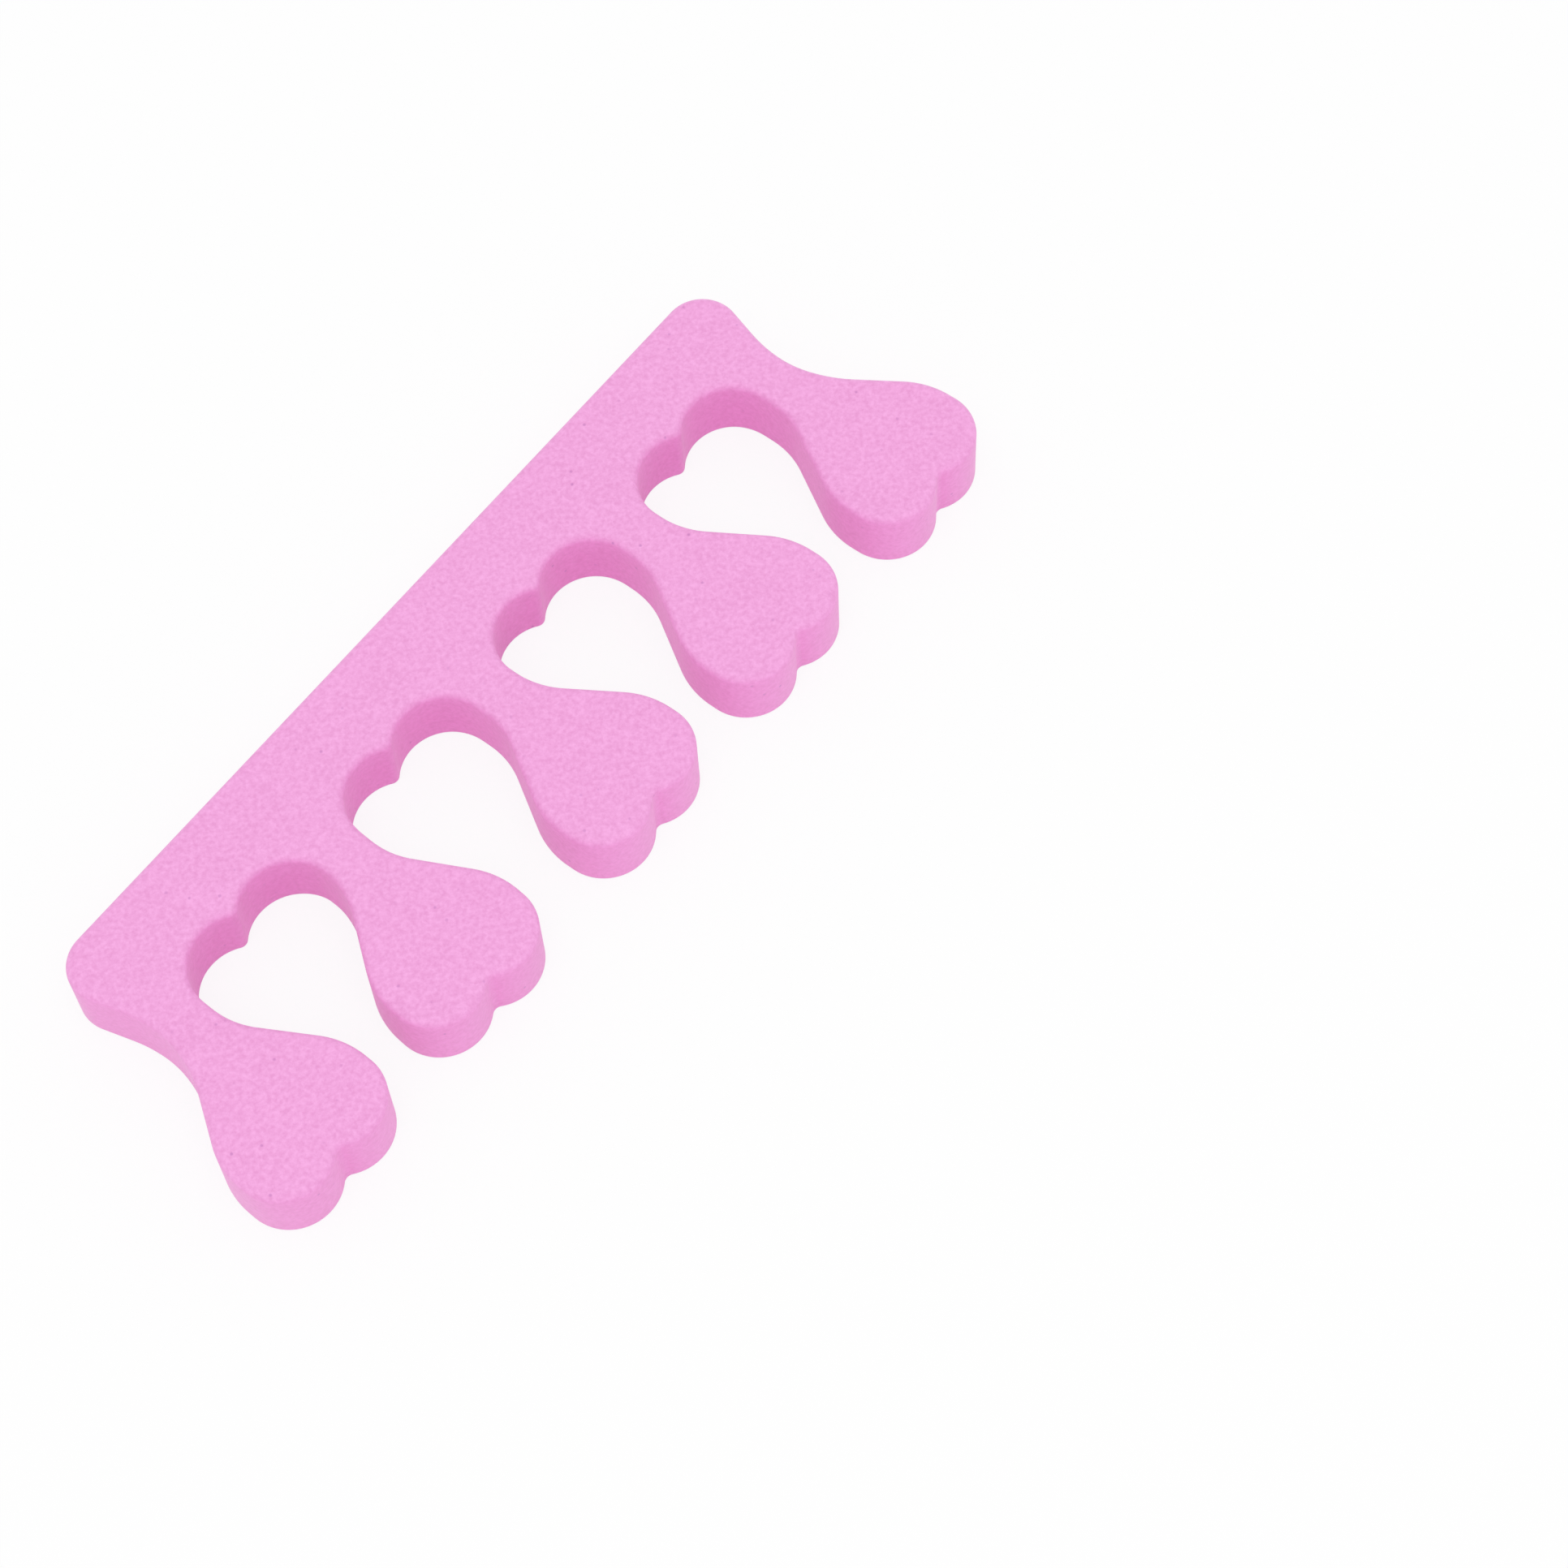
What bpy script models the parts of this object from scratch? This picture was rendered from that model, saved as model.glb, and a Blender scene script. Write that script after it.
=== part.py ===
"""Toe separator: one strip of closed-cell foam with five heart-tipped fingers.

It lies flat. X runs along the strip, Y from the straight back edge to the fingertips, and Z up through the
foam. The origin is the middle of the box round the strip, on the face that it lies on.

The strips are stamped out of a foam sheet in pairs, back to back with no waste: the fingertips of one strip
are what comes out of the gaps of the next. So the line from the V in a fingertip to the peak in the gap floor
is one S-curve that is the same when it is turned half round about its middle. Only its upper half is drawn
here; the rest is copied.
"""

from math import acos, atan2, ceil, cos, pi, radians, sin, sqrt, tan

import bmesh
import bpy
from mathutils import Vector

# The cutting pattern, in metres
PITCH = 0.020  # from the axis of one finger to the axis of the next
FINGERS = 5
NECK_WIDTH = 0.0048  # narrowest part of a finger, and the mouth of a gap between two fingertips
FINGER_LENGTH = 0.02315  # from the floor of a gap to the top of a fingertip
NOTCH_DEPTH = 0.0013  # the V between the two lobes, down from their tops
NOTCH_RADIUS = 0.0008  # left by the bent steel of the die at the V and at the peak
SHOULDER_DROP = 0.0074  # from a lobe's top to the corner where its side turns in to the neck
FLANK_RADIUS = 0.0080  # rounds that corner
SPINE_DEPTH = 0.0080  # foam between the back edge and the floor of a gap

# The two ends of the spine
END_REACH = 0.0047  # from the end finger's axis to the back corner, before it is rounded
END_SLOPE = radians(16.0)  # lean of the end face away from square
END_WAIST_RADIUS = 0.0130
BACK_CORNER_RADIUS = 0.0036

# The foam sheet
THICKNESS = 0.0069
UPPER_ROUND = 0.0007  # the die pulls the skin of the sheet down over the edge before it cuts
LOWER_ROUND = 0.0003  # where it comes out again
UPPER_STEPS = 3
LOWER_STEPS = 2

# Soft foam keeps a little of the bend that it had in its bag: each finger is turned about its neck,
# by an angle towards +X
FINGER_LEAN = (radians(-2.6), radians(-1.0), radians(-1.5), radians(4.6), radians(2.3))

FACET_TOLERANCE = 0.000015  # how far a flat facet may leave its arc


def arc(centre, radius, start, end):
    """Points along a circle from one angle to another, both ends included."""
    widest_step = 2.0 * acos(1.0 - min(FACET_TOLERANCE / radius, 0.5))
    steps = max(2, ceil(abs(end - start) / widest_step))
    angles = [start + (end - start) * i / steps for i in range(steps + 1)]
    return [Vector((centre[0] + radius * cos(a), centre[1] + radius * sin(a))) for a in angles]


def rounded_corner(before, corner, after, radius):
    """The arc that rounds a corner between two straight lines, no longer than the lines allow."""
    towards_before = Vector(before) - Vector(corner)
    towards_after = Vector(after) - Vector(corner)
    half_angle = towards_before.angle(towards_after) / 2.0
    cut_back = min(radius / tan(half_angle), towards_before.length, towards_after.length)
    radius = cut_back * tan(half_angle)
    middle = (towards_before.normalized() + towards_after.normalized()).normalized()
    centre = Vector(corner) + middle * (radius / sin(half_angle))
    from_centre = Vector(corner) + towards_before.normalized() * cut_back - centre
    start = atan2(from_centre.y, from_centre.x)
    turn = pi - 2.0 * half_angle
    side = towards_before.cross(towards_after)
    return arc(centre, radius, start, start + (turn if side < 0.0 else -turn))


# Heights below are measured from the middle of the S-curve, half way between a gap's floor and a lobe's top
TOP = FINGER_LENGTH / 2.0
TIP_HALF_WIDTH = (PITCH - NECK_WIDTH) / 2.0
S_CENTRE = Vector((PITCH / 4.0, 0.0))
SHOULDER = Vector((TIP_HALF_WIDTH, TOP - SHOULDER_DROP))

# The circle that touches the top line and the side line and passes through the bottom of the V
LOBE_RADIUS = TIP_HALF_WIDTH + NOTCH_DEPTH - sqrt(2.0 * TIP_HALF_WIDTH * NOTCH_DEPTH)
LOBE_CENTRE = Vector((TIP_HALF_WIDTH - LOBE_RADIUS, TOP - LOBE_RADIUS))


def lobe():
    """From the bottom of the V, round one lobe, to where its side points straight down."""
    notch_height = sqrt((LOBE_RADIUS + NOTCH_RADIUS) ** 2 - LOBE_CENTRE.x**2)
    notch_centre = Vector((0.0, LOBE_CENTRE.y + notch_height))
    meeting = atan2(-notch_height, LOBE_CENTRE.x)
    notch = arc(notch_centre, NOTCH_RADIUS, -pi / 2.0, meeting)
    return notch + arc(LOBE_CENTRE, LOBE_RADIUS, meeting + pi, 0.0)[1:]


def s_curve():
    """From the V of a fingertip to the peak in the middle of the gap beside it."""
    upper = lobe()
    upper += rounded_corner(upper[-1], SHOULDER, S_CENTRE, FLANK_RADIUS)
    lower = [Vector((PITCH / 2.0 - p.x, -p.y)) for p in reversed(upper)]
    return upper + lower


def end_curve():
    """From the V of an end fingertip, down its outer side and the end of the spine, to the back edge."""
    back_corner = Vector((END_REACH, -TOP - SPINE_DEPTH))
    flank = (S_CENTRE - SHOULDER).normalized()
    end_face = Vector((-sin(END_SLOPE), cos(END_SLOPE)))
    # How far down the flank the line of the end face crosses it
    between = back_corner - SHOULDER
    crossing = between.cross(end_face) / flank.cross(end_face)
    waist = SHOULDER + flank * crossing
    back_edge = back_corner - Vector((PITCH / 2.0, 0.0))
    curve = lobe()
    curve += rounded_corner(curve[-1], SHOULDER, (SHOULDER + waist) / 2.0, FLANK_RADIUS)
    curve += rounded_corner((SHOULDER + waist) / 2.0, waist, (waist + back_corner) / 2.0, END_WAIST_RADIUS)
    curve += rounded_corner((waist + back_corner) / 2.0, back_corner, back_edge, BACK_CORNER_RADIUS)
    return curve


def lean(point, angle):
    """A finger's point, turned about the neck. The bend fades out towards the floor of the gap."""
    neck = -LOBE_CENTRE.y
    reach = neck - (NOTCH_DEPTH - TOP)
    share = min(max((point.y - neck + reach) / (2.0 * reach), 0.0), 1.0)
    turn = angle * share * share * (3.0 - 2.0 * share)
    up = point.y - neck
    return Vector((point.x * cos(turn) + up * sin(turn), neck + up * cos(turn) - point.x * sin(turn)))


def half_finger(number, side):
    """One half of a finger from its V down. Side is -1 for the half towards -X, and 1 for the other."""
    outer = (number == 0 and side < 0) or (number == FINGERS - 1 and side > 0)
    curve = end_curve() if outer else s_curve()
    angle = FINGER_LEAN[number % len(FINGER_LEAN)]
    leaning = [lean(Vector((side * p.x, p.y)), angle) for p in curve]
    return [Vector((p.x + number * PITCH, p.y)) for p in leaning]


def outline():
    """The whole cut line, clockwise from the back corner at -X, centred on the origin."""
    points = []
    for number in range(FINGERS):
        points += reversed(half_finger(number, -1))
        points += half_finger(number, 1)
    line = []
    for point in points:
        if not line or (point - line[-1]).length > FACET_TOLERANCE:
            line.append(point)
    low = Vector((min(p.x for p in line), min(p.y for p in line)))
    high = Vector((max(p.x for p in line), max(p.y for p in line)))
    return [p - (low + high) / 2.0 for p in line]


def foam_material():
    foam = bpy.data.materials.new("eva_foam_pink")
    foam.use_nodes = True
    shader = foam.node_tree.nodes["Principled BSDF"]
    shader.inputs["Base Color"].default_value = (0.89, 0.39, 0.74, 1.0)
    shader.inputs["Roughness"].default_value = 0.75
    shader.inputs["Metallic"].default_value = 0.0
    return foam


def round_rim(bm, height, radius, steps):
    """Rounds the edge of the face that lies at this height."""
    rim = [e for e in bm.edges if all(abs(v.co.z - height) < FACET_TOLERANCE for v in e.verts)]
    bmesh.ops.bevel(bm, geom=rim, offset=radius, segments=steps, profile=0.5, affect="EDGES", material=-1)


def stamp_strip():
    """Cuts the outline out of the sheet and softens the edges of both faces."""
    bm = bmesh.new()
    corners = [bm.verts.new((p.x, p.y, 0.0)) for p in reversed(outline())]
    sheet = bm.faces.new(corners)
    raised = bmesh.ops.extrude_face_region(bm, geom=[sheet])
    top = [item for item in raised["geom"] if isinstance(item, bmesh.types.BMVert)]
    bmesh.ops.translate(bm, verts=top, vec=(0.0, 0.0, THICKNESS))
    round_rim(bm, THICKNESS, UPPER_ROUND, UPPER_STEPS)
    round_rim(bm, 0.0, LOWER_ROUND, LOWER_STEPS)
    bmesh.ops.recalc_face_normals(bm, faces=bm.faces)
    mesh = bpy.data.meshes.new("foam_separator")
    bm.to_mesh(mesh)
    bm.free()
    mesh.materials.append(foam_material())
    mesh.shade_smooth()
    mesh.set_sharp_from_angle(angle=radians(40.0))
    strip = bpy.data.objects.new("foam_separator", mesh)
    bpy.context.scene.collection.objects.link(strip)
    return strip


for old in list(bpy.data.objects):
    bpy.data.objects.remove(old, do_unlink=True)

stamp_strip()
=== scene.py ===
# %% [markdown]
# # A foam toe separator
#
# This little strip keeps the toes apart while nail polish dries. It is one piece of soft EVA foam with
# five heart-tipped fingers, stamped out of a flat sheet. There is nothing to assemble, so two things make
# it look real: how exactly the cut line is drawn, and how the foam takes the light on its smooth skin and
# on its cut walls. The lesson draws the line with Blender's spin operator, stamps it, and then mixes the
# foam. It starts from the solid that was measured in the photograph, which gives the thickness and the
# place of the strip.

# %% Start from the measured part
from math import atan2, ceil, cos, pi, radians, sin, sqrt, tan

import bmesh
import bpy
from mathutils import Matrix, Vector


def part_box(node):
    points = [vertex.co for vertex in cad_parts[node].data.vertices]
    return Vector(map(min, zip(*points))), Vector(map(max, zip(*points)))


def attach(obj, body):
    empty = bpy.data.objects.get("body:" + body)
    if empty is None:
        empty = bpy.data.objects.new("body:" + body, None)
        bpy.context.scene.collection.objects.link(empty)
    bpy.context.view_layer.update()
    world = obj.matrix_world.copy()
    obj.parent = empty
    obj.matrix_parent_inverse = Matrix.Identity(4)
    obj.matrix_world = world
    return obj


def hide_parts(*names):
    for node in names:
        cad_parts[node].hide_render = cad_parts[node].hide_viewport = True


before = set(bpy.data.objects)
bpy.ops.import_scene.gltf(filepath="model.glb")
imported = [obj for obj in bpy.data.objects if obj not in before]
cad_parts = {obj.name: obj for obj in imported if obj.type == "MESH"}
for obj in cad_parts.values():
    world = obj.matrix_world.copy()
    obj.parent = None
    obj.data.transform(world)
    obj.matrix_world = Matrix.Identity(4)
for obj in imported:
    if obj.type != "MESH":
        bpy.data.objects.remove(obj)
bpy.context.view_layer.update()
strip_low, strip_high = (Vector(corner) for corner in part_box("foam_separator"))
THICKNESS = strip_high.z - strip_low.z
print(f"strip {(strip_high - strip_low) * 1000}, foam {THICKNESS * 1000:.2f} mm thick")

# %% [markdown]
# ## The camera
#
# The strip is photographed from about 63 degrees above the table, with a long lens, from the side of the
# fingertips. The camera comes first, so that every later step can be looked at from the right place. A
# camera can be turned by three angles, but a place, a point to look at and a small roll say more plainly
# what a photographer did.

# %% Camera
CAMERA_PLACE = Vector((0.1039, 0.1200, 0.2971))
CAMERA_AIM = Vector((-0.0093, 0.0215, 0.0031))
CAMERA_ROLL = radians(-3.15)
LENS_MM = 87.3
SENSOR_MM = 36.0
NEAREST_SEEN = 0.01

camera_data = bpy.data.cameras.new("camera")
camera_data.lens = LENS_MM
camera_data.sensor_width = SENSOR_MM
camera_data.clip_start = NEAREST_SEEN
camera = bpy.data.objects.new("camera", camera_data)
aim = (CAMERA_AIM - CAMERA_PLACE).to_track_quat("-Z", "Y").to_matrix().to_4x4()
camera.matrix_world = Matrix.Translation(CAMERA_PLACE) @ aim @ Matrix.Rotation(CAMERA_ROLL, 4, "Z")
bpy.context.scene.collection.objects.link(camera)
bpy.context.scene.camera = camera
print(f"camera {(CAMERA_PLACE - CAMERA_AIM).length * 1000:.0f} mm from what it looks at")

# %% [markdown]
# ## The cutting pattern
#
# The strips are cut back to back with no waste, so the edge between a fingertip and the gap beside it is
# one S-curve that is the same when it is turned half round about its middle. Only the upper half has to
# be drawn: the V between the lobes, the round lobe, the side, and the flank that slopes in to the neck.
# These are the sizes of that half. Heights are measured from the middle of the S.

# %% Sizes of the cut line, in metres
PITCH = 0.020
FINGERS = 5
NECK_WIDTH = 0.0048
FINGER_LENGTH = 0.02315
NOTCH_DEPTH = 0.0013
NOTCH_RADIUS = 0.0008
SHOULDER_DROP = 0.0074
FLANK_RADIUS = 0.0080
SPINE_DEPTH = 0.0080
END_REACH = 0.0047
END_SLOPE = radians(16.0)
END_WAIST_RADIUS = 0.0130
BACK_CORNER_RADIUS = 0.0036
FINGER_LEAN = [radians(angle) for angle in (-2.6, -1.0, -1.5, 4.6, 2.3)]

TOP = FINGER_LENGTH / 2
TIP_HALF_WIDTH = (PITCH - NECK_WIDTH) / 2
S_CENTRE = Vector((PITCH / 4, 0.0, 0.0))
SHOULDER = Vector((TIP_HALF_WIDTH, TOP - SHOULDER_DROP, 0.0))
LOBE_RADIUS = TIP_HALF_WIDTH + NOTCH_DEPTH - sqrt(2 * TIP_HALF_WIDTH * NOTCH_DEPTH)
LOBE_CENTRE = Vector((TIP_HALF_WIDTH - LOBE_RADIUS, TOP - LOBE_RADIUS, 0.0))
print(f"fingertip {TIP_HALF_WIDTH * 2000:.1f} mm wide, lobes {LOBE_RADIUS * 1000:.2f} mm in radius")

# %% [markdown]
# ## A pen made of two operators
#
# A curve object could hold the outline, but its arcs would only be close to true ones. Spinning a single
# vertex about a centre draws an exact arc, and extruding it draws a straight line. The vertex that comes
# out last is the pen for the next stroke. Small steps keep the flats of an arc too short to see.

# %% The pen
ARC_STEP = radians(3.0)
FEWEST_STEPS = 3


def draw_arc(bm, pen, centre, turn):
    """Carries the pen round a centre, anticlockwise where the turn is positive, and returns it."""
    steps = max(FEWEST_STEPS, ceil(abs(turn) / ARC_STEP))
    spun = bmesh.ops.spin(bm, geom=[pen], cent=centre, axis=(0, 0, 1), angle=turn, steps=steps)
    return next(item for item in spun["geom_last"] if isinstance(item, bmesh.types.BMVert))


def draw_line(bm, pen, end):
    """Pulls the pen along a straight line and returns it."""
    pulled = bmesh.ops.extrude_vert_indiv(bm, verts=[pen])["verts"][0]
    bmesh.ops.translate(bm, verts=[pulled], vec=end - pen.co)
    return pulled


def draw_corner(bm, pen, corner, after, radius):
    """Goes straight to a corner and rounds it, so that the pen ends up heading for the point after it."""
    back = (pen.co - corner).normalized()
    ahead = (after - corner).normalized()
    half_angle = back.angle(ahead) / 2
    pen = draw_line(bm, pen, corner + back * (radius / tan(half_angle)))
    centre = corner + (back + ahead).normalized() * (radius / sin(half_angle))
    turns_left = back.cross(ahead).z < 0
    return draw_arc(bm, pen, centre, (pi - 2 * half_angle) * (1 if turns_left else -1))


# %% [markdown]
# ## One side of a finger
#
# The bent steel of the die leaves a small radius in the V, so the line starts with that arc and meets the
# lobe where the two circles touch. From there it runs round the lobe, down the side and round the
# shoulder to the middle of the S. A copy that is turned half round about that middle finishes the S, with
# the same small peak in the floor of the gap as the V that it is cut with.

# %% Draw the S
def draw_lobe(bm):
    """Starts at the bottom of the V, goes once over the lobe and returns the pen at the tip's side."""
    notch_height = sqrt((LOBE_RADIUS + NOTCH_RADIUS) ** 2 - LOBE_CENTRE.x**2)
    notch_centre = Vector((0.0, LOBE_CENTRE.y + notch_height, 0.0))
    meeting = atan2(-notch_height, LOBE_CENTRE.x)
    pen = bm.verts.new(notch_centre - Vector((0.0, NOTCH_RADIUS, 0.0)))
    pen = draw_arc(bm, pen, notch_centre, meeting + pi / 2)
    return draw_arc(bm, pen, LOBE_CENTRE, -(meeting + pi))


s_side = bmesh.new()
pen = draw_lobe(s_side)
pen = draw_corner(s_side, pen, SHOULDER, S_CENTRE, FLANK_RADIUS)
draw_line(s_side, pen, S_CENTRE)
copied = bmesh.ops.duplicate(s_side, geom=s_side.verts[:] + s_side.edges[:])["geom"]
lower_half = [item for item in copied if isinstance(item, bmesh.types.BMVert)]
bmesh.ops.rotate(s_side, verts=lower_half, cent=S_CENTRE, matrix=Matrix.Rotation(pi, 3, "Z"))
print(f"{len(s_side.verts)} points on an S")

# %% [markdown]
# ## The two ends
#
# At the ends of the strip no gap follows. The flank slopes in as on any finger, meets the slanted end
# face in a wide waist, and the end face runs down to the rounded corner at the back. The waist lies where
# the two straight lines cross, which two cross products give without solving for anything.

# %% Draw an end
back_corner = Vector((END_REACH, -TOP - SPINE_DEPTH, 0.0))
flank = (S_CENTRE - SHOULDER).normalized()
end_face = Vector((-sin(END_SLOPE), cos(END_SLOPE), 0.0))
waist = SHOULDER + flank * ((back_corner - SHOULDER).cross(end_face).z / flank.cross(end_face).z)

end_side = bmesh.new()
pen = draw_lobe(end_side)
pen = draw_corner(end_side, pen, SHOULDER, waist, FLANK_RADIUS)
pen = draw_corner(end_side, pen, waist, back_corner, END_WAIST_RADIUS)
draw_corner(end_side, pen, back_corner, back_corner - Vector((PITCH, 0.0, 0.0)), BACK_CORNER_RADIUS)
print(f"{len(end_side.verts)} points on an end, waist {waist * 1000} mm")

# %% [markdown]
# ## Five fingers, each with its own lean
#
# Soft foam keeps a little of the bend that it had in its bag, and the photograph shows it: two of the
# fingers stand apart, and the others lean together. Each finger is turned about its neck, its narrowest
# and softest place. The turn fades out towards the floor of the gap, as it would in rubber, so no kink
# shows. Each finger is a side and its mirror image. Where two sides meet, their end points lie on each
# other, and merging them makes one line, which a last straight edge closes at the back.

# %% Lay out the whole cut line
MERGE_DISTANCE = 1e-6


def lean(bm, verts, angle):
    """Turns a side about its neck: fully above it, eased down to nothing at the floor of the gap."""
    neck = -LOBE_CENTRE.y
    reach = neck - (NOTCH_DEPTH - TOP)
    for vert in verts:
        share = min(max((vert.co.y - neck + reach) / (2 * reach), 0.0), 1.0)
        eased = share * share * (3 - 2 * share)
        turn = Matrix.Rotation(-angle * eased, 3, "Z")
        bmesh.ops.rotate(bm, verts=[vert], cent=(0, neck, 0), matrix=turn)


s_mesh = bpy.data.meshes.new("s side")
s_side.to_mesh(s_mesh)
s_side.free()
end_mesh = bpy.data.meshes.new("end side")
end_side.to_mesh(end_mesh)
end_side.free()

strip = bmesh.new()
for number in range(FINGERS):
    for side in (-1, 1):
        at_end = number == (0 if side < 0 else FINGERS - 1)
        drawn_before = len(strip.verts)
        strip.from_mesh(end_mesh if at_end else s_mesh)
        half = strip.verts[drawn_before:]
        bmesh.ops.scale(strip, verts=half, vec=(side, 1, 1))
        lean(strip, half, FINGER_LEAN[number])
        bmesh.ops.translate(strip, verts=half, vec=(number * PITCH, 0, 0))

bmesh.ops.remove_doubles(strip, verts=strip.verts, dist=MERGE_DISTANCE)
back_edge_ends = [vert for vert in strip.verts if len(vert.link_edges) == 1]
bmesh.ops.contextual_create(strip, geom=back_edge_ends)
print(f"{len(strip.verts)} points on the cut line, {len(back_edge_ends)} open ends joined at the back")

# %% [markdown]
# ## Stamp it
#
# One stroke of the die turns the line into a solid. The steel drags the skin of the sheet down over the
# upper edge before it cuts, so that edge is rounder than the lower one. A modifier could round both edges
# alike, but here each rim is found by its height and gets a bevel of its own. A hair-thin ring inside
# each face then keeps the flat faces perfectly flat in the shading, and all the rounding in the edge.

# %% Fill, raise, round the edges
UPPER_ROUND = 0.00070
UPPER_SEGMENTS = 8
LOWER_ROUND = 0.00030
LOWER_SEGMENTS = 4
CIRCULAR = 0.5
FLAT_RING = 0.00005
FLAT_FACE_CORNERS = 100

sheet = bmesh.ops.edgeloop_fill(strip, edges=strip.edges)["faces"]
raised = bmesh.ops.extrude_face_region(strip, geom=sheet)["geom"]
raised_verts = [item for item in raised if isinstance(item, bmesh.types.BMVert)]
bmesh.ops.translate(strip, verts=raised_verts, vec=(0, 0, THICKNESS))
low = Vector(min(vert.co[axis] for vert in strip.verts) for axis in range(3))
high = Vector(max(vert.co[axis] for vert in strip.verts) for axis in range(3))
bmesh.ops.translate(strip, verts=strip.verts, vec=(strip_low + strip_high - low - high) / 2)

rims = ((strip_high.z, UPPER_ROUND, UPPER_SEGMENTS), (strip_low.z, LOWER_ROUND, LOWER_SEGMENTS))
for height, radius, segments in rims:
    on_rim = {vert for vert in strip.verts if abs(vert.co.z - height) < MERGE_DISTANCE}
    rim = [edge for edge in strip.edges if on_rim.issuperset(edge.verts)]
    bmesh.ops.bevel(
        strip, geom=rim, offset=radius, segments=segments, profile=CIRCULAR, affect="EDGES", material=-1
    )
bmesh.ops.recalc_face_normals(strip, faces=strip.faces)
flat_faces = [face for face in strip.faces if len(face.verts) > FLAT_FACE_CORNERS]
bmesh.ops.inset_region(strip, faces=flat_faces, thickness=FLAT_RING, use_even_offset=True)
print(f"{len(strip.faces)} faces, {len(flat_faces)} of them flat")
print(f"volume {strip.calc_volume() * 1e6:.2f} cm3")

# %% [markdown]
# ## One piece
#
# The strip comes off the die whole, so it is a single object. Its bevels are fine enough to be shaded
# smooth all over, and no edge has to be marked as sharp: nothing on soft foam is.

# %% Make the strip
strip_mesh = bpy.data.meshes.new("foam_strip")
strip.to_mesh(strip_mesh)
strip.free()
strip_mesh.shade_smooth()
foam_strip = bpy.data.objects.new("foam_strip", strip_mesh)
bpy.context.scene.collection.objects.link(foam_strip)
print(f"{len(strip_mesh.vertices)} vertices, size {foam_strip.dimensions * 1000} mm")

# %% [markdown]
# ## EVA foam
#
# EVA is a soft closed-cell foam with a dull, slightly waxy skin. Real sheets are never one flat colour:
# the cells lie just under the skin and mottle it, and a few open ones hold shade and show as dark specks.
# Two layers of noise mottle the foam here, and a sparse Voronoi pattern places the specks, whose darkness
# is painted shade. A painted picture could do it too, but noise in space runs on round the edge and down
# the wall, as the real cells do. All sizes are real ones, in metres, so the pattern would stay true on a
# part of any size.
#
# Two helpers come first: one for colours, which are easiest to read as a screen shows them, and one that
# adds a node with its settings and links in a single call.

# %% Colours and a way to add nodes
def linear(hex_code):
    """A colour as a screen shows it, turned into the linear light that Blender mixes."""
    channels = [int(hex_code[i : i + 2], 16) / 255 for i in (0, 2, 4)]
    return [c / 12.92 if c <= 0.04045 else ((c + 0.055) / 1.055) ** 2.4 for c in channels] + [1.0]


def add_node(tree, kind, settings=None, links=None):
    """Adds a node. Settings go to its sockets or properties, links come from other nodes' outputs."""
    node = tree.nodes.new(kind)
    for name, value in (settings or {}).items():
        if isinstance(name, int) or name in node.inputs:
            node.inputs[name].default_value = value
        else:
            setattr(node, name, value)
    for name, source in (links or {}).items():
        tree.links.new(source, node.inputs[name])
    return node


# %% [markdown]
# ## Skin above, cut wall below
#
# The die opens the cells that it cuts through, so a wall is deeper in colour than the skin. That deeper
# pink is partly painted shade as well: it stands in for the pinker light that bounces between the walls
# and through the foam. The skin is pulled over the rounded edge and gives way to the wall a little
# further down. The wall's share therefore follows the height alone: from none at the top face to all of
# it 0.8 mm below, and back to none where the lower edge rounds off. A mask from the surface's direction
# would draw a line round the edge, which the real strip doesn't have.

# %% How much of the cut wall shows
SKIN_DEPTH = 0.00005
CUT_DEPTH = 0.0008

foam = bpy.data.materials.new("EVA foam, pink, die-cut")
foam.use_nodes = True
tree = foam.node_tree
place = add_node(tree, "ShaderNodeTexCoord").outputs["Object"]
height = add_node(tree, "ShaderNodeSeparateXYZ", links={"Vector": place}).outputs["Z"]
below_skin = add_node(
    tree,
    "ShaderNodeMapRange",
    {
        "interpolation_type": "SMOOTHSTEP",
        "From Min": strip_high.z - CUT_DEPTH,
        "From Max": strip_high.z - SKIN_DEPTH,
        "To Min": 1.0,
        "To Max": 0.0,
    },
    {"Value": height},
).outputs[0]
above_base = add_node(
    tree,
    "ShaderNodeMapRange",
    {"From Min": strip_low.z, "From Max": strip_low.z + LOWER_ROUND},
    {"Value": height},
).outputs[0]
# Where this share is high the wall colour shows, so the painted shade in it deepens down the top 0.8 mm
# of the wall.
wall = add_node(
    tree, "ShaderNodeMath", {"operation": "MULTIPLY"}, {0: below_skin, 1: above_base}
).outputs[0]
print(f"all wall from {CUT_DEPTH * 1000:.1f} mm below the top face")

# %% [markdown]
# ## The mottled colour
#
# Fine cells do most of the mottling and slow clouds a little. Noise is built on a square lattice, and a
# flat face that lies along that lattice cuts it into stripes, so the pattern is turned to sit askew. The
# noise seldom leaves the middle of its range, so only that part of it is spread over the two colours.
#
# A Mix node has a set of sockets for every kind of value. For numbers they are inputs 2 and 3 and output
# 0, and for colours they are inputs 6 and 7 and output 2.

# %% Cells and clouds
SKIN_LIGHT = "FAAFE7"
SKIN_DARK = "EC9BD5"
# The two cut colours are partly the cut cells' own deeper pink and partly painted shade, the pinker light
# that bounces between the walls.
CUT_AND_SHADE_LIGHT = "F89EE0"
CUT_AND_SHADE_DARK = "EE92D3"
CELL_SIZE = 0.00040
CELL_LAYERS = 2.0
CELL_LAYER_GAIN = 0.6
CLOUD_SIZE = 0.0040
CLOUD_LAYERS = 1.0
CLOUD_SHARE = 0.1
GRAIN_TURN = (0.5, 0.3, 0.8)
DARKEST_NOISE = 0.32
LIGHTEST_NOISE = 0.68

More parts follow.
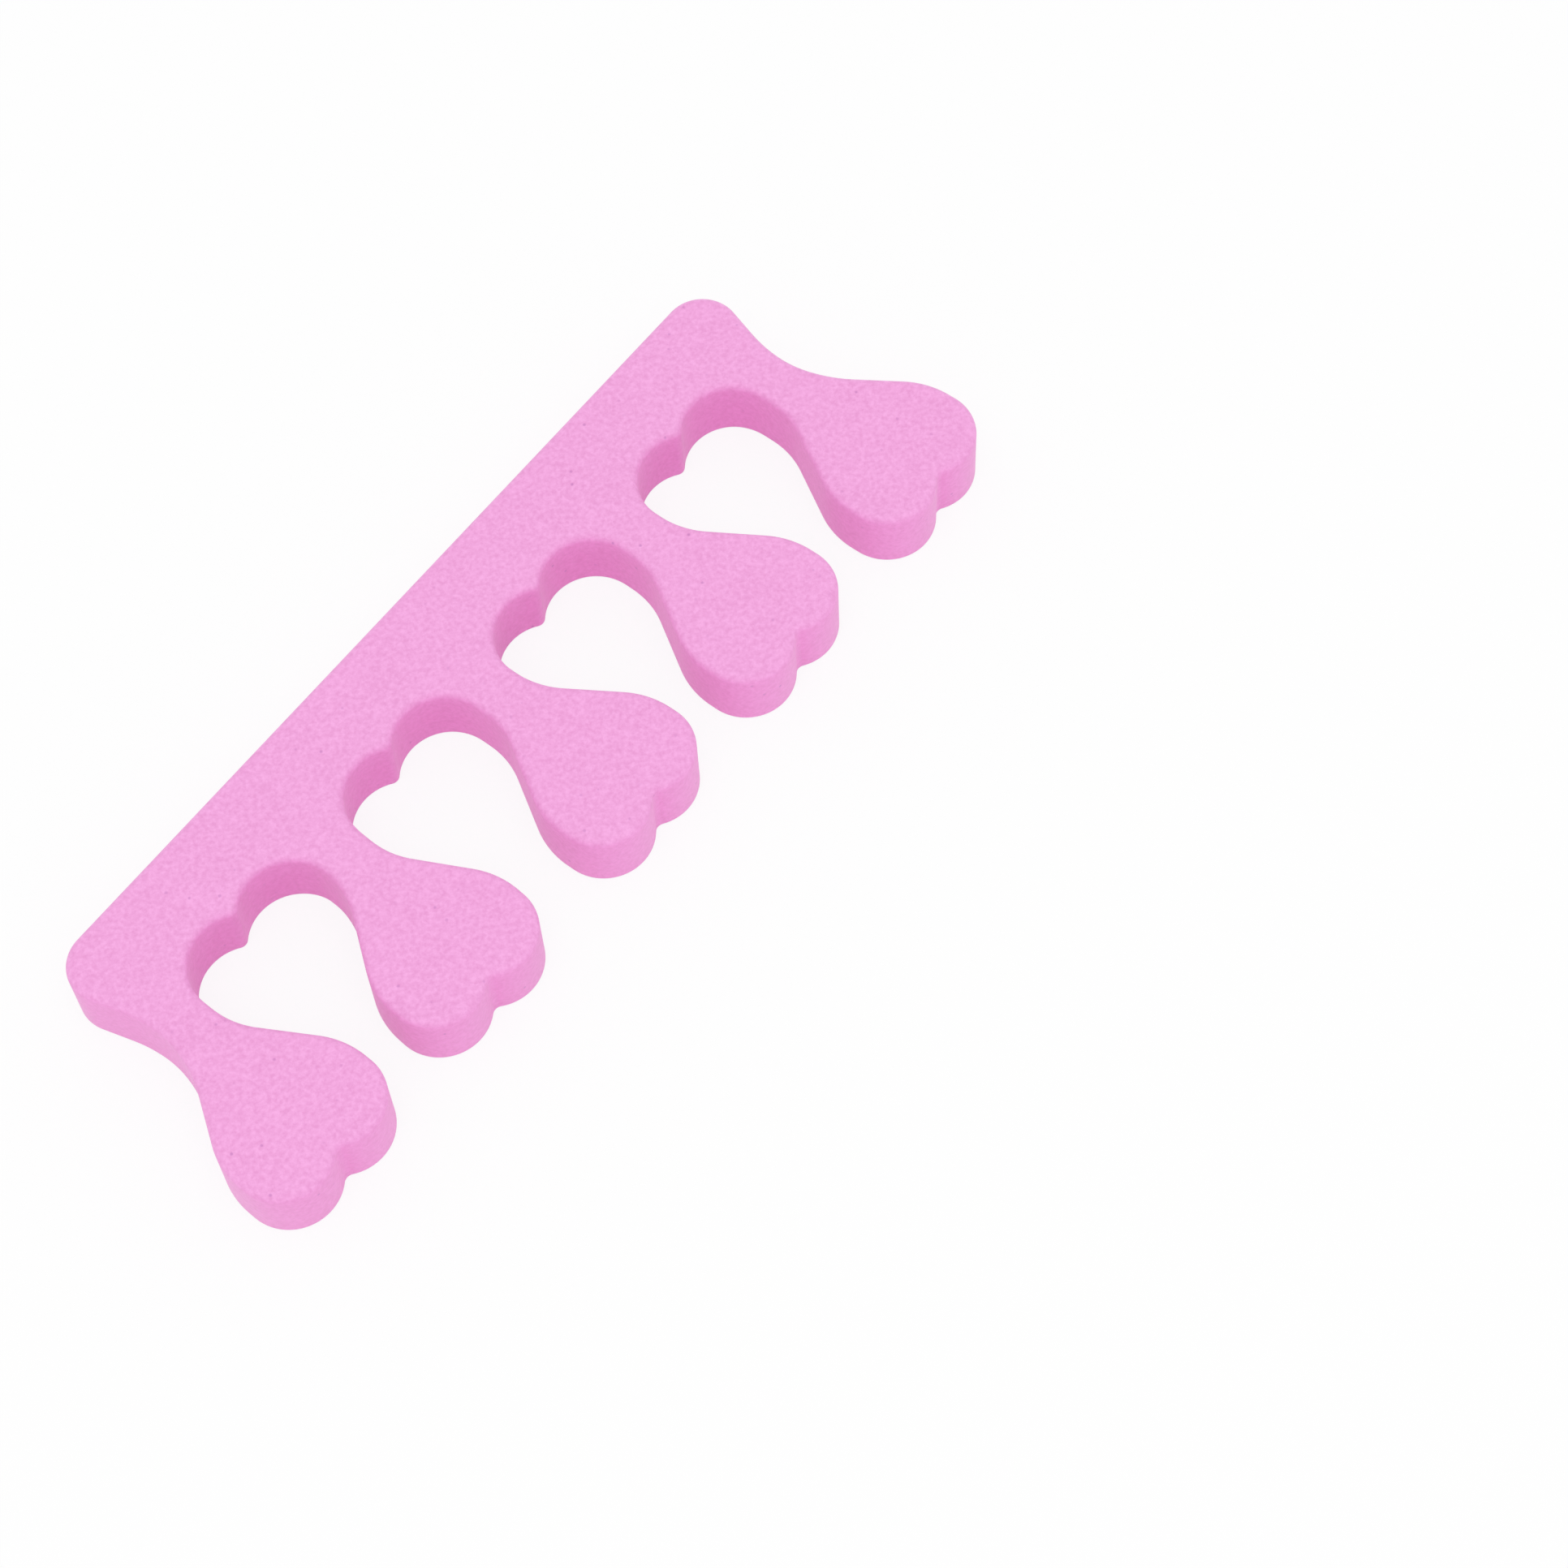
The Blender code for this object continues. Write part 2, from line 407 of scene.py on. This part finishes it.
turned = add_node(
    tree, "ShaderNodeMapping", {"Rotation": GRAIN_TURN}, {"Vector": place}
).outputs["Vector"]
cells = add_node(
    tree,
    "ShaderNodeTexNoise",
    {"Scale": 1 / CELL_SIZE, "Detail": CELL_LAYERS, "Roughness": CELL_LAYER_GAIN},
    {"Vector": turned},
).outputs["Fac"]
clouds = add_node(
    tree,
    "ShaderNodeTexNoise",
    {"Scale": 1 / CLOUD_SIZE, "Detail": CLOUD_LAYERS},
    {"Vector": turned},
).outputs["Fac"]
blend = add_node(
    tree, "ShaderNodeMix", {"data_type": "FLOAT", 0: CLOUD_SHARE}, {2: cells, 3: clouds}
).outputs[0]
tone = add_node(
    tree, "ShaderNodeMapRange", {"From Min": DARKEST_NOISE, "From Max": LIGHTEST_NOISE}, {"Value": blend}
).outputs[0]
skin = add_node(
    tree, "ShaderNodeMix", {"data_type": "RGBA", 6: linear(SKIN_DARK), 7: linear(SKIN_LIGHT)}, {0: tone}
).outputs[2]
# Wall colour: partly the cut's own colour, partly painted shade.
cut_wall_and_shade = add_node(
    tree, "ShaderNodeMix", {"data_type": "RGBA", 6: linear(CUT_AND_SHADE_DARK), 7: linear(CUT_AND_SHADE_LIGHT)}, {0: tone}
).outputs[2]
surface = add_node(
    tree, "ShaderNodeMix", {"data_type": "RGBA"}, {0: wall, 6: skin, 7: cut_wall_and_shade}
).outputs[2]
print(f"cells {CELL_SIZE * 1000:.2f} mm, clouds {CLOUD_SIZE * 1000:.1f} mm")

# %% [markdown]
# ## Specks, grain and sheen
#
# Here and there a cell is open to the air. The mesh gives it no hollow: the shade inside it is painted
# as a darker speck about a third of a millimetre wide. Some are wide open and some barely, so each speck
# of painted shade takes its strength from its Voronoi cell's own random colour. The fine cells also make
# the surface uneven by a few hundredths of a millimetre: too little to see one by one, but enough to
# break up the light. The broken cell walls stand up like a short nap and catch light from low angles,
# which is what the sheen is for. Otherwise foam is dull, so it is rough.

# %% Finish the foam
# The speck colour below is painted shade: the dark inside an open cell, which has no hollow in the mesh.
PORE_SHADE_COLOUR = "C87CBE"
PORE_SPACING = 0.0019
PORE_CORE = 0.000084
PORE_RADIUS = 0.000192
PORE_SHADE_SHARE = 0.75
GRAIN_HEIGHT = 0.00003
ROUGHNESS = 0.72
EVA_IOR = 1.45
NAP_SHEEN = 0.25

pores = add_node(
    tree, "ShaderNodeTexVoronoi", {"Scale": 1 / PORE_SPACING}, {"Vector": turned}
).outputs
pore_shade_strength = add_node(
    tree, "ShaderNodeSeparateColor", links={"Color": pores["Color"]}
).outputs["Red"]
in_pore = add_node(
    tree,
    "ShaderNodeMapRange",
    {
        "From Min": PORE_CORE / PORE_SPACING,
        "From Max": PORE_RADIUS / PORE_SPACING,
        "To Min": PORE_SHADE_SHARE,
        "To Max": 0.0,
    },
    {"Value": pores["Distance"]},
).outputs[0]
# Painted shade of the open cells: darker where a speck is, as deep as its random strength.
pore_shade = add_node(
    tree, "ShaderNodeMath", {"operation": "MULTIPLY"}, {0: in_pore, 1: pore_shade_strength}
).outputs[0]
with_pore_shade = add_node(
    tree, "ShaderNodeMix", {"data_type": "RGBA", 7: linear(PORE_SHADE_COLOUR)}, {0: pore_shade, 6: surface}
).outputs[2]
grain = add_node(
    tree, "ShaderNodeBump", {"Strength": 1.0, "Distance": GRAIN_HEIGHT}, {"Height": cells}
).outputs["Normal"]

shader = tree.nodes["Principled BSDF"]
tree.links.new(with_pore_shade, shader.inputs["Base Color"])
tree.links.new(grain, shader.inputs["Normal"])
shader.inputs["Roughness"].default_value = ROUGHNESS
shader.inputs["IOR"].default_value = EVA_IOR
shader.inputs["Sheen Weight"].default_value = NAP_SHEEN
foam_strip.data.materials.append(foam)
print(f"{len(tree.nodes)} nodes in the foam")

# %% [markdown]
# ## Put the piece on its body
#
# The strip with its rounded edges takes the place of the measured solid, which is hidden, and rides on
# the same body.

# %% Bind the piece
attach(foam_strip, "root")
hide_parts("foam_separator")
print(f"{foam_strip.name} stands for foam_separator")

# %% [markdown]
# ## A white table
#
# The picture has a plain white background and hardly any shadow. Turning up the lamps until the table is
# white would bleach the pale foam as well. So the lamps stay low, and the table and the room are plain
# white only to rays that show them to the camera, straight or by way of a polish or glass. Just enough of
# the table's real shading is mixed in to keep the shadow at the contact. All other rays meet real white
# paper, so the foam is lit as it would be. The table lies a hair below the strip, so that the two faces
# don't share one place.

# %% Table
WHITE = (1.0, 1.0, 1.0, 1.0)
FLOOR_SIZE = 3.0
PAPER_COLOUR = "FAFAFA"
PAPER_ROUGHNESS = 0.9
SHADOW_SHARE = 0.15
TABLE_CLEARANCE = 0.00002


def seen_by_camera(tree):
    """One for rays that carry a picture to the camera, and none for those that only carry light."""
    rays = add_node(tree, "ShaderNodeLightPath").outputs
    seen = rays["Is Camera Ray"]
    for kind in ("Is Glossy Ray", "Is Transmission Ray"):
        seen = add_node(
            tree, "ShaderNodeMath", {"operation": "MAXIMUM"}, {0: seen, 1: rays[kind]}
        ).outputs[0]
    return seen


table_bm = bmesh.new()
bmesh.ops.create_grid(table_bm, x_segments=1, y_segments=1, size=FLOOR_SIZE / 2)
bmesh.ops.translate(table_bm, verts=table_bm.verts, vec=(0, 0, strip_low.z - TABLE_CLEARANCE))
table_mesh = bpy.data.meshes.new("table")
table_bm.to_mesh(table_mesh)
table_bm.free()
table = bpy.data.objects.new("table", table_mesh)
bpy.context.scene.collection.objects.link(table)

paper = bpy.data.materials.new("White paper sweep")
paper.use_nodes = True
paper_tree = paper.node_tree
paper_shader = paper_tree.nodes["Principled BSDF"]
paper_shader.inputs["Base Color"].default_value = linear(PAPER_COLOUR)
paper_shader.inputs["Roughness"].default_value = PAPER_ROUGHNESS
paper_shader.inputs["Specular IOR Level"].default_value = 0.0
white = add_node(paper_tree, "ShaderNodeEmission", {"Color": WHITE, "Strength": 1.0})
white_share = add_node(
    paper_tree,
    "ShaderNodeMath",
    {"operation": "MULTIPLY", 1: 1 - SHADOW_SHARE},
    {0: seen_by_camera(paper_tree)},
)
mixed = add_node(
    paper_tree,
    "ShaderNodeMixShader",
    links={0: white_share.outputs[0], 1: paper_shader.outputs[0], 2: white.outputs[0]},
)
paper_tree.links.new(mixed.outputs[0], paper_tree.nodes["Material Output"].inputs["Surface"])
table_mesh.materials.append(paper)
print(f"table {TABLE_CLEARANCE * 1000:.2f} mm below the strip")

# %% [markdown]
# ## A light tent
#
# Light comes from all round, and the white table gives it back, so the walls are nearly as bright as the
# top. A white world does most of that. One large soft lamp overhead, a little to the camera's side, gives
# the rest and a hint of shadow. Small lamps would be simpler to place, but each would throw a hard shadow
# and draw a bright line along the rounded edge, and the photograph shows neither.

# %% Light
WORLD_STRENGTH = 0.84
LAMP_PLACE = Vector((0.20, 0.22, 0.86))
LAMP_SIZE = 0.7
LAMP_WATTS = 1.6

world = bpy.data.worlds.new("light tent")
world.use_nodes = True
world_tree = world.node_tree
tent = world_tree.nodes["Background"]
tent.inputs["Color"].default_value = WHITE
tent.inputs["Strength"].default_value = WORLD_STRENGTH
backdrop = add_node(world_tree, "ShaderNodeBackground", {"Color": WHITE, "Strength": 1.0})
world_mix = add_node(
    world_tree,
    "ShaderNodeMixShader",
    links={0: seen_by_camera(world_tree), 1: tent.outputs[0], 2: backdrop.outputs[0]},
)
world_tree.links.new(world_mix.outputs[0], world_tree.nodes["World Output"].inputs["Surface"])
bpy.context.scene.world = world

lamp_data = bpy.data.lights.new("overhead softbox", "AREA")
lamp_data.shape = "SQUARE"
lamp_data.size = LAMP_SIZE
lamp_data.energy = LAMP_WATTS
lamp = bpy.data.objects.new("overhead softbox", lamp_data)
lamp.location = LAMP_PLACE
lamp.rotation_euler = (-LAMP_PLACE).to_track_quat("-Z", "Y").to_euler()
bpy.context.scene.collection.objects.link(lamp)
bpy.context.scene.view_settings.view_transform = "Standard"
print(f"tent {WORLD_STRENGTH}, softbox {LAMP_WATTS} W, {LAMP_PLACE.length * 1000:.0f} mm from the strip")
